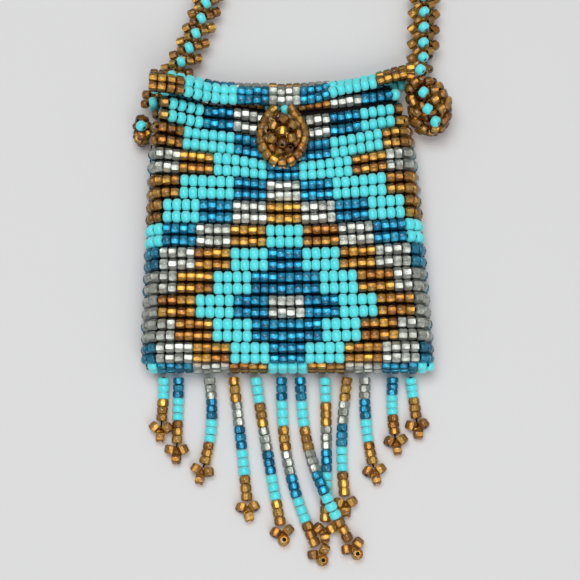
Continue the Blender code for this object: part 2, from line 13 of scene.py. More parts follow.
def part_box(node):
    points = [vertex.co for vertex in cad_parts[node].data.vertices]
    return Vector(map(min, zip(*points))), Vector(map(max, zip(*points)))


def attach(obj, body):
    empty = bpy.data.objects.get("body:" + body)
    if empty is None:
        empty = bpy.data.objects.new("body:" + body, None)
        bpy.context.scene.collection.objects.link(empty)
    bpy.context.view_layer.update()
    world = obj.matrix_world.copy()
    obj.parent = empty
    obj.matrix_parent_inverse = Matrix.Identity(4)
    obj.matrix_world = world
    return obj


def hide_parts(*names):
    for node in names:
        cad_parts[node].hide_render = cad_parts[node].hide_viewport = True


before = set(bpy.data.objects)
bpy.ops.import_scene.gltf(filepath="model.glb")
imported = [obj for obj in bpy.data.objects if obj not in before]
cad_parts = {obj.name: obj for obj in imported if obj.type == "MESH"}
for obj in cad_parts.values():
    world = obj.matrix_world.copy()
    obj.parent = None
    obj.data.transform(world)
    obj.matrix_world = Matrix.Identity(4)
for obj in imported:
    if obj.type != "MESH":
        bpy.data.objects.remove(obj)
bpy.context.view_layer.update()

bl_info = {
    "name": "Beaded medicine bag",
    "version": (1, 0, 0),
    "blender": (4, 5, 0),
    "location": "View3D > Sidebar > Beadwork",
    "description": "Builds a small pouch of seed beads with a fringe and a bead rope",
    "category": "Add Mesh",
}

MM = 0.001
UP = Vector((0, 0, 1))

# The pouch, as in its solids, in millimetres
BEAD_DIAMETER = 2.1
COLUMNS = 32
SIDE_COLUMNS = 2
FRONT_ROWS = 25
BACK_ROWS = 24
FLAP_ROWS = 4
COLUMN_PITCH = 1.62
COLUMN_PITCH_AT_MOUTH = 1.48
COLUMN_PITCH_AT_FOLD = 1.70
ROWS_LOWER = 0.86
ROWS_SAG = 0.74
ROWS_LEVEL = 7
SAG_ROW = 3.9
SAG_REACH = 2.65
ROWS_CORNER = 1.18
CORNER_WIDTH = 0.4
CORNER_REACH = 5.6
GAP = 0.3
HEM_HALF_WIDTH = 26.6
BAG_HEIGHT = 52.2
FOLD_MIDDLE = 1.8
TAPER_LEFT = 1.2
TAPER_RIGHT = 3.8
MOUTH_PULL_IN = 1.9
MOUTH_RISE_LEFT = 1.0
MOUTH_RISE_RIGHT = 3.7
CROWN_HEIGHT = 7.5
SEAM_HEIGHT = 2.75
MOUTH_HEIGHT = 4.1
FOLD_ROUNDING = 6
FOLD_SQUARENESS = 2.5
SIDE_SQUARENESS = 12
SIDE_ROUNDNESS = 3
MOUTH_SLOPE = 12
FLAP_COVERS = 2.7
BACK_EDGE_RISE = 0.65
BACK_FOLD_REACH = 2.2
FLAP_LEFT = 25.1
FLAP_RIGHT = 21.8
FLAP_MIDDLE = -0.5
FLAP_LINING = 0.75
FLAP_LAP = 1.3
FLAP_AXIS_BELOW_MOUTH = 0.8
FLAP_TWIST = 1.7
FLAP_CORNER_RISE = 1.0
# Where the flap's right half starts to be pulled up and its corner to rise, and over how far
FLAP_TWIST_FROM, FLAP_TWIST_OVER = 4, 7
FLAP_RISE_FROM, FLAP_RISE_OVER = 12, 10

# Button and the loop round it
BUTTON_X = -1.0
BUTTON_Y = 43.6
BUTTON_NECK_RADIUS = 2.1
BUTTON_MIDDLE_RISE = 0.6
BUTTON_REACH = (3.0, 3.3, 3.0)
# Rings of the button's dome: beads in it, its lean from the top in degrees, which stand on end
BUTTON_RINGS = ((1, 0, ()), (6, 40, (4,)), (11, 72, (1, 6)))
LOOP_BEADS = 19
LOOP_HALF_WIDTH = 3.9
LOOP_HALF_HEIGHT = 5.4
LOOP_MOUTH_ANGLE = 18
LOOP_ENDS_RISE = 0.8
LOOP_ENDS_FROM, LOOP_ENDS_OVER = 0.7, 0.25  # cosines round the loop, where its ends bend up
LOOP_TIE_PLACE = (0.45, -0.3, -0.5)  # from the middle between the loop's ends

# Bead rope strap: its route is that of its solids
ROPE_DIAMETER = 5.3
ROPE_SPREAD = 0.16
ROPE_FIRST = 1.7
ROPE_LAST = 3.0
ROPE_LEAN = 45  # degrees by which its turquoise beads lean at its left end
ROPE_LEAN_CHANGE = 82  # and by how much less at its right end
# Shares of the rope between which the lean changes, and by which its ends spread out
ROPE_LEANS_FROM, ROPE_LEANS_OVER = 0.3, 0.4
ROPE_SPREADS_FROM, ROPE_SPREADS_OVER = 0.84, 0.08
ROPE_FACE_RISE = 1.6  # its turquoise beads above and below its middle line
ROPE_FLANK_RISE = 1.15
ROPE_SIDE_REACH = 1.8
LIFT_REACH = 11
COIL_CENTRE = (5.4, 119)
COIL_MIDDLE_RADIUS = 30.5
# The coil, in degrees along it: where it starts on the circle, its step and its sweep, and
# (start, sweep) of its parting from the strap's left end, of its move to the inner turn, of its
# climb and of its way out to the right end. On top it is carried by both turns for a while.
COIL_FROM = 225
COIL_STEP = 11
COIL_SWEEP = 979
COIL_JOINS = (0, 14)
COIL_MOVES_IN = (281, 88)
COIL_CLIMBS = (560, 81)
COIL_CARRIED = (641, 741)
COIL_LEAVES = (895, 110)
COIL_JOIN_REACH = 1.5
COIL_LEAVE_REACH = 8.0
COIL_LEAVE_HEIGHT = 4.9
CLEAR_OF_FLOOR = 0.01
NESTING = math.sin(math.radians(60))  # rise of a turn that lies in the groove of two others
TIE_TURNS = 3
TIE_STEPS = 24  # in one turn
TIE_ADVANCE = 0.012  # along the coil in one step
TIE_CLEARANCE = 0.3
TIE_LOWEST = 0.2
STRAP_LEFT_ROUTE = [
    (-25.8, 49.9, 2.66), (-22.6, 54.6, 2.66), (-19.6, 59.5, 2.66), (-17.2, 64.6, 2.66),
    (-15.0, 72.0, 2.66), (-14.2, 79.0, 2.66), (-15.5, 87.2, 2.66),
]  # fmt: skip
STRAP_RIGHT_ROUTE = [
    (24.9, 56.9, 4.6), (25.0, 60.4, 3.4), (25.2, 65.0, 2.9), (25.5, 72.0, 2.7),
    (25.9, 79.0, 3.4), (27.0, 87.4, 5.3),
]  # fmt: skip
# Its sewn ends: middle, half sizes, number of beads round it, places of the turquoise ones
RIGHT_KNOB = (
    (26.1, 50.6, 4.3), (4.1, 5.6, 4.3), 54, 1.3,
    [(24.3, 56.9), (24.7, 52.1), (25.4, 48.9), (26.9, 46.9)],
)  # fmt: skip
# Beads that join the flap's right end to the rope: place, direction of the hole
JOINING_BEADS = [((22.5, 57.5, 5.6), (1, 0.05, 0)), ((22.6, 56.1, 4.6), (1, -0.1, 0))]
LEFT_KNOB = ((-26.9, 46.3, 2.7), (1.7, 2.9, 2.7), 20, 0.0, [(-26.9, 46.6)])

# Fringe: column it hangs from, groups of three beads, tip (x, y), bow to the right
FRINGE = [
    (2.6, 2, -22.9, -10.5, 0.1),
    (4.2, 3, -19.9, -14.6, 0.0),
    (7.5, 4, -15.8, -18.2, 1.2),
    (10.1, 5, -6.9, -25.0, 0.1),
    (12.5, 6, -0.6, -29.4, -0.2),
    (15.3, 7, 6.4, -32.9, -2.3),
    (17.3, 7, 12.7, -31.9, -2.8),
    (20.0, 6, 6.5, -28.7, 0.3),
    (22.4, 5, 10.4, -24.0, -0.9),
    (24.3, 4, 15.8, -18.2, -0.7),
    (27.3, 3, 19.5, -12.6, -0.4),
    (29.2, 2, 23.3, -9.8, 0.1),
]
FRINGE_OVER = 7  # the strand that crosses over its neighbour
HUMP_MIDDLE = 0.66
DROP_SHARE = 0.25  # share of a strand that comes down from the fold to the floor
PICOT_LENGTH = 3.6
PICOT_SIDE_PLACE = (1.15, 1.12)  # ahead of the last bead and to its side
PICOT_TIP_AHEAD = 2.75
TIPS_ON_END = (5, 6, 7)

STRIPES = ("crystal", "blue", "turquoise", "amber")
BLOCK = 2  # beads along each side of one step
PATTERN_STEPS = 12  # steps from one diamond to the next, down the bag
PATTERN_FROM = 3
# From this step on, the turquoise stripe at this many blocks is three blocks wide, not two
WIDE_STRIPE_STEP = 5
WIDE_STRIPE_DISTANCE = 12
STEP_SHIFT = (0, 1, 2, 4, 6, 8, 10)  # blocks by which each step's stripes lie further in

# Profile of a bead along its hole: (place, radius) as shares of its length and radius
ROUND_PROFILE = [(-0.44, 0.33), (-0.49, 0.64), (-0.27, 0.97), (0.27, 0.97), (0.49, 0.64), (0.44, 0.33)]
DRUM_PROFILE = [(-0.44, 0.36), (-0.49, 0.74), (-0.34, 0.98), (0.34, 0.98), (0.49, 0.74), (0.44, 0.36)]
LINING_RADIUS = {"crystal": 0.72, "blue": 0.62, "amber": 0.53}
# Depth of the dark sheet below the beads: the thread, and painted shade that shows between them
THREAD_BELOW = 0.45
# (length, diameter) of the beads that are sewn on singly or make up the rope, in millimetres
ROPE_TURQUOISE_BEAD = (1.5, 2.1)
ROPE_FLANK_BEAD = (1.35, 1.7)
ROPE_SIDE_BEAD = (1.5, 1.95)
ROPE_CORE_BEAD = (1.45, 2.0)
KNOB_LARGE_BEAD = (1.6, 2.1)
KNOB_SMALL_BEAD = (1.5, 1.95)
BUTTON_BEAD = (1.55, 2.0)
LOOP_TIE_BEAD = (1.5, 1.9)
PICOT_BEAD_LENGTH = 1.6
# How a bead sits in the cloth: off its surface, and the share of its place that it fills
LOOSE = 0.05
FILLS = 0.97
FILLS_STRING = 0.98
FRONT_EDGE_SHARE = 0.4  # of a bead's length, which has to lie on the front
CROWDING = 1.02
FRONT_DIAMETERS = (1.9, 2.25)
# Knobs at the rope's ends
KNOB_BEAD_RADIUS = 0.9
KNOB_SQUARENESS = 2.6
KNOB_SHELLS = (1, 0.5)
KNOB_COVERED = 1.8  # of the two radii from its top to its bottom
KNOB_TURN = 2.4  # radians from bead to bead, the golden angle
KNOB_CLEAR = 1.7  # between a turquoise bead and the amber ones
KNOB_PROUD = 0.3
# Threads, a little thicker than the real 0.2 mm, so that they show
EDGE_THREAD = 0.26
STITCHES_END = 5  # rows below the mouth, where the flap begins
FRONT_STITCH = (0.985, 0.45, 0.6)  # place across the front, then outwards and up from it
BACK_STITCH = (1, 0.7, 0.8)
FRINGE_THREAD = 0.3
COIL_THREAD = 0.35
# A hole's mouth is a flat black face: the thread in it, and painted shade for the hole's depth
GLASS, HOLE_THREAD_AND_SHADE, LINING = 0, 1, 2

# The camera: lens in millimetres, tilt in degrees, distance in metres, target in millimetres
LENS = 110.9
TILT = 12
DISTANCE = 0.32
TARGET = (0.36, 15.6, 6.0)
# Soft lamps on the origin: place and size in metres, power in watts
KEY_LIGHT = ((-0.06, 0.12, 0.53), 0.34, 1.9)
FILL_LIGHT = ((0.13, -0.38, 0.45), 0.4, 1.45)
AMBIENT_COLOUR = (0.9, 0.9, 0.92, 1)
AMBIENT = 0.36


def linear(hex_colour):
    """An sRGB hex colour as linear values with full alpha."""
    parts = [int(hex_colour[i : i + 2], 16) / 255 for i in (1, 3, 5)]
    return [p / 12.92 if p <= 0.04045 else ((p + 0.055) / 1.055) ** 2.4 for p in parts] + [1.0]


def colour_property(name, hex_colour, description):
    return bpy.props.FloatVectorProperty(
        name=name, description=description, subtype="COLOR", size=4, min=0, max=1,
        default=linear(hex_colour),
    )  # fmt: skip


def size_property(name, millimetres, description):
    """A size in millimetres, which has no unit of Blender's: its lengths are in metres."""
    return bpy.props.FloatProperty(
        name=name, description=f"{description}, in millimetres", default=millimetres, min=0.1
    )


class BeadSizes(bpy.types.PropertyGroup):
    """Sizes of the beads, in millimetres, and how far they vary."""

    diameter: size_property("Bead diameter", 2.13, "Across a bead of the cloth and the fringe")
    turquoise: size_property("Turquoise bead length", 1.70, "Along the hole of a turquoise bead")
    amber: size_property("Amber bead length", 1.60, "Along the hole of an amber bead")
    crystal: size_property("Crystal bead length", 1.58, "Along the hole of a crystal bead")
    blue: size_property("Blue bead length", 1.50, "Along the hole of a blue bead")
    rope_unit: size_property("Rope unit", 3.1, "From one turquoise bead of the rope to the next")
    variation: bpy.props.FloatProperty(
        name="Variation", description="Share by which a bead's size may differ from its kind's",
        default=0.035, min=0, max=0.2, subtype="FACTOR",
    )  # fmt: skip


class BeadColours(bpy.types.PropertyGroup):
    """Colours of the glass, the linings, the thread and the floor."""

    turquoise: colour_property("Turquoise", "#48DDE2", "Opaque turquoise glass")
    turquoise_deep: colour_property("Turquoise, deeper", "#30D4DC", "The deepest of the turquoise beads")
    # Pale colour for the edge of a turquoise bead: a painted sheen
    turquoise_painted_sheen: colour_property("Turquoise, at its edge", "#B0F8F4", "Turquoise glass seen at a slant")
    amber: colour_property("Amber", "#FFD86A", "Clear amber glass over its lining")
    amber_deep: colour_property("Amber, deeper", "#C87E26", "The deepest of the amber beads")
    amber_rim: colour_property("Amber, at its edge", "#5E2406", "Amber glass seen through edgewise")
    crystal: colour_property("Crystal", "#F0F7F3", "Colourless glass over its lining")
    crystal_deep: colour_property("Crystal, deeper", "#E0E9E6", "The greyest of the crystal beads")
    crystal_rim: colour_property("Crystal, at its edge", "#A4ACAA", "Colourless glass seen edgewise")
    blue: colour_property("Blue", "#40D0F4", "Clear blue glass over its lining")
    blue_deep: colour_property("Blue, deeper", "#129CD2", "The deepest of the blue beads")
    blue_rim: colour_property("Blue, at its edge", "#0A4A7A", "Blue glass seen through edgewise")
    lining: colour_property("Silver lining", "#DAD8D2", "Bright silver in the hole of a bead")
    lining_dull: colour_property("Silver lining, dull", "#A8A49C", "Silver where it has tarnished")
    # This black also paints shade: in the beads' holes and, as a sheet below the beadwork, in the gaps
    # between beads
    thread: colour_property("Thread", "#0B0B0D", "Sewing thread, also seen in the holes")
    floor: colour_property("Floor", "#CFCFCF", "The board that the bag lies on")


def sizes():
    """The scene's own sizes, as the panel shows them."""
    return bpy.context.scene.bead_sizes


def colours():
    """The scene's own colours, as the panel shows them."""
    return bpy.context.scene.bead_colours


# The chart of the pattern and the shape of the pouch


def stripe_at(row, column):
    """The colour of one bead: stepped diamonds, mirrored about the middle of the bag."""
    step_row = (row + 1) // BLOCK
    half = PATTERN_STEPS // 2
    step = half - abs((step_row + PATTERN_FROM) % PATTERN_STEPS - half)
    block = int(abs(column + 0.5 - COLUMNS / 2) // BLOCK)
    distance = block + STEP_SHIFT[step]
    if step >= WIDE_STRIPE_STEP and distance > WIDE_STRIPE_DISTANCE:
        distance -= 1
    return STRIPES[((distance + 1) // 2) % 4]


def smooth(share):
    """Eases from 0 to 1 as the share does, and stays there."""
    share = min(max(share, 0.0), 1.0)
    return share * share * (3 - 2 * share)


def edge_x(y, side):
    """The pouch's outline at this height: side is -1 on the left and 1 on the right."""
    share = max(y, 0.0) / BAG_HEIGHT
    taper = TAPER_LEFT if side < 0 else TAPER_RIGHT
    return side * (HEM_HALF_WIDTH - taper * share - MOUTH_PULL_IN * share**8)


def mouth_rise(x):
    """How much further up the mouth reaches here than at its middle."""
    rise = MOUTH_RISE_LEFT if x < 0 else MOUTH_RISE_RIGHT
    return rise * abs(x / HEM_HALF_WIDTH) ** 1.5


def rope_lift(x, y):
    """How far the strap, which passes below the left corner, lifts the beadwork."""
    start = Vector(STRAP_LEFT_ROUTE[0][:2])
    end = Vector(STRAP_LEFT_ROUTE[2][:2])
    along = (end - start).normalized()
    inward = Vector((along.y, -along.x))
    distance = (Vector((x, y)) - start).dot(inward)
    return (ROPE_DIAMETER + GAP) * (1 - smooth(distance / LIFT_REACH))


def even_points(points, count):
    """That many stations along a dense line of points, evenly spaced by length."""
    points = np.asarray(points)
    steps = np.linalg.norm(np.diff(points, axis=0), axis=1)
    length = np.concatenate([[0.0], np.cumsum(steps)])
    wanted = np.linspace(0, length[-1], count)
    return np.stack([np.interp(wanted, length, points[:, k]) for k in range(points.shape[1])], 1)


def front_height(y):
    """Height of the front's middle line: round at the fold, sinking to the mouth."""
    swell = min((y - FOLD_MIDDLE) / FOLD_ROUNDING, 1.0)
    rounded = (1 - (1 - max(swell, 0.0)) ** FOLD_SQUARENESS) ** (1 / FOLD_SQUARENESS)
    rounded = SEAM_HEIGHT + (CROWN_HEIGHT - SEAM_HEIGHT) * rounded
    flat_from = BAG_HEIGHT - FLAP_COVERS
    sunk = smooth((y - flat_from + MOUTH_SLOPE) / MOUTH_SLOPE)
    return rounded - (CROWN_HEIGHT - MOUTH_HEIGHT) * sunk


@functools.lru_cache(maxsize=None)
def front_line():
    """Dense stations (y, z) of the front's middle line, from the mouth to the fold."""
    shares = np.linspace(0, 1, 600) ** 2
    ys = FOLD_MIDDLE + (BAG_HEIGHT - FOLD_MIDDLE) * shares[::-1]
    return even_points([(y, front_height(y)) for y in ys], 401)


def on_line(line, share):
    """The place at this share of a line of evenly spaced points."""
    place = share * (len(line) - 1)
    low = min(int(place), len(line) - 2)
    return line[low] + (line[low + 1] - line[low]) * (place - low)


@functools.lru_cache(maxsize=None)
def front_section(share):
    """Dense stations (x, z) across the front at this share of its length from the mouth."""
    y, middle = on_line(front_line(), share)
    left, right = (edge_x(y, side) - side * BEAD_DIAMETER / 2 for side in (-1, 1))
    turn = np.clip(np.sin(np.linspace(-math.pi / 2, math.pi / 2, 481)), -1, 1)
    side = (1 - np.abs(turn) ** SIDE_SQUARENESS) ** (1 / SIDE_ROUNDNESS)
    x = left + (right - left) * (turn + 1) / 2
    return even_points(np.stack([x, SEAM_HEIGHT + (middle - SEAM_HEIGHT) * side], 1), 201)


def half_length(share):
    """Half the length of the front's beadwork across, at this share from the mouth."""
    return np.linalg.norm(np.diff(front_section(share), axis=0), axis=1).sum() / 2


def row_share(row, across):
    """Share of the front's length at which a line of its rows lies."""
    away = 1 - abs(2 * row / FRONT_ROWS - 1) ** ROWS_LEVEL
    sag = ROWS_SAG * (1 - across**2) ** 2 * math.exp(-(((row - SAG_ROW) / SAG_REACH) ** 2))
    corner = ROWS_CORNER * smooth(-across / CORNER_WIDTH) * math.exp(-((row / CORNER_REACH) ** 2))
    return (row + away * (ROWS_LOWER + sag - corner)) / FRONT_ROWS


def front_surface(across, share):
    """Middle of the front's beadwork: across from -1 to 1, share from mouth to fold."""
    x, z = on_line(front_section(share), (across + 1) / 2)
    y = on_line(front_line(), share)[0] + mouth_rise(x) * (1 - share)
    return Vector((x, y, z + rope_lift(x, y)))


def back_surface(across, share):
    """Middle of the back's beadwork, from the fold up to the flap."""
    resting = BEAD_DIAMETER / 2
    top = BAG_HEIGHT - FLAP_AXIS_BELOW_MOUTH - GAP
    y = FOLD_MIDDLE + (top - FOLD_MIDDLE) * share
    turn = max(1 - (y - FOLD_MIDDLE) / BACK_FOLD_REACH, 0.0)
    x = edge_x(y, -1) + (edge_x(y, 1) - edge_x(y, -1)) * (across + 1) / 2
    x -= across * BEAD_DIAMETER / 2
    y += mouth_rise(x) * share
    fold_rise = (SEAM_HEIGHT - GAP - resting) * (1 - math.sqrt(1 - turn**2))
    edge_rise = BACK_EDGE_RISE * abs(across) ** 12 * (1 - turn)
    return Vector((x, y, resting + fold_rise + edge_rise + rope_lift(x, y)))


def flap_radius():
    """Radius at which the flap's beadwork rolls over the mouth."""
    top = MOUTH_HEIGHT + BEAD_DIAMETER / 2 + GAP + FLAP_LINING
    return (top - BEAD_DIAMETER / 2) / 2


def flap_surface(across, share):
    """Middle of the flap's beadwork: round over the mouth, then a short flat lap."""
    radius = flap_radius()
    end = FLAP_RIGHT - FLAP_MIDDLE if across > 0 else FLAP_LEFT + FLAP_MIDDLE
    x = FLAP_MIDDLE + across * end
    twist = FLAP_TWIST * smooth((x - FLAP_TWIST_FROM) / FLAP_TWIST_OVER)
    length = share * (math.pi * radius + FLAP_LAP - twist)
    angle = min(length / radius, math.pi)
    lap = max(length - math.pi * radius, 0.0)
    corner = FLAP_CORNER_RISE * smooth((x - FLAP_RISE_FROM) / FLAP_RISE_OVER)
    mouth_y = BAG_HEIGHT + mouth_rise(x) + corner
    y = mouth_y - FLAP_AXIS_BELOW_MOUTH + radius * math.sin(angle) - lap
    z = BEAD_DIAMETER / 2 + radius * (1 - math.cos(angle))
    return Vector((x, y, z + rope_lift(x, mouth_y)))


def surface_frame(surface, across, share):
    """(place, direction along the row, outward normal) of a surface."""
    step = 2e-3
    low_a, high_a = max(across - step, -1), min(across + step, 1)
    low_s, high_s = max(share - step, 0), min(share + step, 1)
    along = (surface(high_a, share) - surface(low_a, share)).normalized()
    down = surface(across, high_s) - surface(across, low_s)
    return surface(across, share), along, down.cross(along).normalized()


def front_top(x, y):
    """Height of the crowns of the front's beads at this place."""
    line = front_line()
    station = np.interp(-y, -line[:, 0], np.arange(len(line)))
    section = front_section(station / (len(line) - 1))
    return float(np.interp(x, section[:, 0], section[:, 1])) + BEAD_DIAMETER / 2


@functools.lru_cache(maxsize=None)
def bag_shift():
    """From the pouch's own coordinates to the frame's, both in millimetres."""
    low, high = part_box("strap_coil")
    middle = (Vector(low) + Vector(high)) / 2 / MM
    return Vector((middle.x - COIL_CENTRE[0], middle.y - COIL_CENTRE[1], 0))


# Beads as meshes


def bead_shape(profile, sides, lining=0):
    """One bead along X, one unit long and one in radius, with its holes and its lining."""
    bm = bmesh.new()
    points = [bm.verts.new((x, 0, radius)) for x, radius in profile]
    edges = [bm.edges.new(pair) for pair in zip(points, points[1:])]
    bmesh.ops.spin(
        bm, geom=points + edges, axis=(1, 0, 0), cent=(0, 0, 0),
        steps=sides, angle=2 * math.pi, use_merge=True,
    )  # fmt: skip
    # Flat faces in the thread's black close the holes: the thread, and painted shade for the hole's depth
    open_edges = [edge for edge in bm.edges if len(edge.link_faces) == 1]
    for face in bmesh.ops.holes_fill(bm, edges=open_edges, sides=0)["faces"]:
        face.material_index = HOLE_THREAD_AND_SHADE
    if lining:
        made = bmesh.ops.create_cone(
            bm, cap_ends=True, segments=6, radius1=lining, radius2=lining, depth=0.86,
            matrix=Matrix.Rotation(math.pi / 2, 4, "Y"),
        )["verts"]  # fmt: skip
        for face in {face for vertex in made for face in vertex.link_faces}:
            face.material_index = LINING
    bmesh.ops.recalc_face_normals(bm, faces=bm.faces)
    bm.verts.index_update()
    verts = np.array([vertex.co for vertex in bm.verts])
    faces = [[vertex.index for vertex in face.verts] for face in bm.faces]
    kinds = [face.material_index for face in bm.faces]
    bm.free()
    return verts, faces, kinds


@functools.lru_cache(maxsize=None)
def shape_of(colour, sides):
    """The bead of this colour: turquoise ones are round and unlined, the others drum-shaped."""
    if colour == "turquoise":
        return bead_shape(ROUND_PROFILE, sides)
    return bead_shape(DRUM_PROFILE, sides, LINING_RADIUS[colour])


class Beads:
    """Beads placed one by one, then joined into one mesh."""

    def __init__(self, seed, sides=10):
        self.random = random.Random(seed)
        self.sides = sides
        self.points, self.faces, self.slots, self.smooth, self.tones = [], [], [], [], []
        self.count = 0

    def near(self, amount):
        """A random number between minus and plus this amount."""
        return self.random.uniform(-amount, amount)

    def add(self, colour, centre, along, up, length, diameter, wobble=0.04, rolled=math.pi):
        """One bead with its hole along a direction, a little off as each real one is."""
        vary = sizes().variation
        along = (along + Vector([self.near(wobble) for _ in range(3)])).normalized()
        side = up.cross(along).normalized()
        up = along.cross(side)
        roll = self.near(rolled)
        turned_side = side * math.cos(roll) + up * math.sin(roll)
        turned_up = up * math.cos(roll) - side * math.sin(roll)
        radius = diameter / 2 * (1 + self.near(vary))
        length *= 1 + self.near(vary)
        axes = np.array([along * length, turned_side * radius, turned_up * radius])
        verts, faces, kinds = shape_of(colour, self.sides)
        shift = centre + bag_shift()
        self.points.append((verts @ axes + np.array(shift)) * MM)
        self.faces += [[index + self.count for index in face] for face in faces]
        self.slots += [SLOT_OF[kind] if kind else STRIPES.index(colour) for kind in kinds]
        self.smooth += [kind == GLASS for kind in kinds]
        self.tones += [self.random.random()] * len(verts)
        self.count += len(verts)

    def made(self, name):
        """The beads as one object, each with its glass and a tone of its own."""
        mesh = bpy.data.meshes.new(name)
        mesh.from_pydata(np.concatenate(self.points).tolist(), [], self.faces)
        for material in bead_materials():
            mesh.materials.append(material)
        mesh.polygons.foreach_set("material_index", self.slots)
        mesh.polygons.foreach_set("use_smooth", self.smooth)
        tones = mesh.attributes.new("tone", "FLOAT", "POINT")
        tones.data.foreach_set("value", self.tones)
        mesh.update()
        return linked(name, mesh)


def meshed(name, bm, material):
    """The bmesh as a smooth object of one material."""
    mesh = bpy.data.meshes.new(name)
    bm.to_mesh(mesh)
    bm.free()
    mesh.materials.append(material)
    mesh.shade_smooth()
    return linked(name, mesh)


def linked(name, data):
    made = bpy.data.objects.new(name, data)
    bpy.context.scene.collection.objects.link(made)
    return made


SLOT_OF = {HOLE_THREAD_AND_SHADE: len(STRIPES), LINING: len(STRIPES) + 1}


# Materials. A texture's scale is the number of its patches in a metre: those in a millimetre over MM

GLASS_CLOUDS = 0.9 / MM  # patches of 1.1 mm, half a bead, as a tube of glass is streaked
GLASS_RIPPLES = 1.5 / MM  # 0.7 mm, the soft corners that fire leaves on a cut tube
OPAQUE_CLOUDS = 0.7 / MM  # 1.4 mm, most of a bead: opaque glass is the more even
OPAQUE_RIPPLES = 1.2 / MM  # 0.8 mm
LINING_CLOUDS = 0.8 / MM  # 1.25 mm, tarnish from one end of a hole
LINING_GRAIN = 2.5 / MM  # 0.4 mm: the real grain is finer and wouldn't show
THREAD_TWIST = 0.9 / MM  # a band in 0.7 mm along: the real ply is finer and wouldn't show
BOARD_TOOTH = 0.9 / MM  # 1.1 mm, coarser than real card's, so that it shows
SHALLOW = 0.1 * MM  # depth of all relief but the board's
BOARD_DEPTH = 0.2 * MM


def add_node(tree, kind, inputs=None, **settings):
    """Adds one node, sets it up and feeds its inputs with values or other nodes' outputs."""
    node = tree.nodes.new(kind)
    for name, value in settings.items():
        setattr(node, name, value)
    for name, value in (inputs or {}).items():
        if isinstance(value, bpy.types.NodeSocket):
            tree.links.new(value, node.inputs[name])
        else:
            node.inputs[name].default_value = value
    return node


def new_material(name):
    """An empty material with its output, and the coordinates of its object."""
    material = bpy.data.materials.new(name)
    material.use_nodes = True
    tree = material.node_tree
    tree.nodes.clear()
    output = tree.nodes.new("ShaderNodeOutputMaterial")
    coordinates = tree.nodes.new("ShaderNodeTexCoord").outputs["Object"]
    return material, tree, output, coordinates


def mixed(tree, share, first, second):
    """A colour that goes from one to another as the share goes from 0 to 1."""
    mix = add_node(tree, "ShaderNodeMix", {0: share, 6: first, 7: second}, data_type="RGBA")
    return mix.outputs[2]


def toned(tree, coordinates, light, deep, scale):
    """A colour between two, different for each bead and slightly uneven within it."""
    tone = add_node(tree, "ShaderNodeAttribute", attribute_name="tone").outputs["Fac"]
    cloud = add_node(
        tree, "ShaderNodeTexNoise", {"Vector": coordinates, "Scale": scale, "Detail": 2.0}
    )
    share = add_node(tree, "ShaderNodeMath", {0: tone, 1: cloud.outputs["Fac"]}, operation="ADD")
    half = add_node(tree, "ShaderNodeMath", {0: share.outputs[0], 1: 0.55}, operation="MULTIPLY")
    return mixed(tree, half.outputs[0], light, deep)


def rimmed(tree, colour, rim, strength):
    """A colour that gives way to another where the surface turns away from the eye."""
    facing = add_node(tree, "ShaderNodeLayerWeight", {"Blend": 0.4}).outputs["Facing"]
    share = add_node(tree, "ShaderNodeMath", {0: facing, 1: strength}, operation="MULTIPLY")
    return mixed(tree, share.outputs[0], colour, rim)


def bump(tree, coordinates, scale, strength, distance):
    """Uneven relief: patches by their scale, how much of it shows and how deep it is."""
    noise = add_node(
        tree, "ShaderNodeTexNoise", {"Vector": coordinates, "Scale": scale, "Detail": 3.0}
    )
    return add_node(
        tree, "ShaderNodeBump",
        {"Height": noise.outputs["Fac"], "Strength": strength, "Distance": distance},
    ).outputs["Normal"]  # fmt: skip


def clear_glass(name, light, deep, rim):
    """Clear glass seed bead, cut from a drawn tube, rounded by fire and lined with silver.

    The eye sees the lamps come back from the lining in the glass's colour, a small sharp
    highlight on top and a dark edge, where the wall is looked through at its thickest. The
    lamps reach the lining, because the glass tints shadow rays and doesn't stop them.
    """
    material, tree, output, coordinates = new_material(name)
    colour = rimmed(tree, toned(tree, coordinates, light, deep, GLASS_CLOUDS), rim, 1.0)
    glass = add_node(
        tree, "ShaderNodeBsdfPrincipled",
        {"Base Color": colour, "Roughness": 0.04, "IOR": 1.5, "Transmission Weight": 1.0,
         "Normal": bump(tree, coordinates, GLASS_RIPPLES, 0.12, SHALLOW)},
    )  # fmt: skip
    through = add_node(tree, "ShaderNodeBsdfTransparent", {"Color": colour})
    shadow = add_node(tree, "ShaderNodeLightPath").outputs["Is Shadow Ray"]
    mix = add_node(
        tree, "ShaderNodeMixShader", {0: shadow, 1: glass.outputs[0], 2: through.outputs[0]}
    )
    tree.links.new(mix.outputs[0], output.inputs["Surface"])
    return material


def opaque_glass(name, light, deep, rim):
    """Opaque glass seed bead, cut from a drawn tube and tumbled smooth.

    The eye sees one even colour with a broad soft highlight, a fainter sharp one over it and
    a paler edge, a painted sheen mixed into the colour where the surface turns from the eye.
    """
    material, tree, output, coordinates = new_material(name)
    # The paler edge mixed into the base colour is a painted sheen
    shader = add_node(
        tree, "ShaderNodeBsdfPrincipled",
        {"Base Color": rimmed(tree, toned(tree, coordinates, light, deep, OPAQUE_CLOUDS), rim, 0.8),
         "Roughness": 0.32, "IOR": 1.52, "Coat Weight": 0.2, "Coat Roughness": 0.12,
         "Normal": bump(tree, coordinates, OPAQUE_RIPPLES, 0.15, SHALLOW)},
    )  # fmt: skip
    tree.links.new(shader.outputs[0], output.inputs["Surface"])
    return material


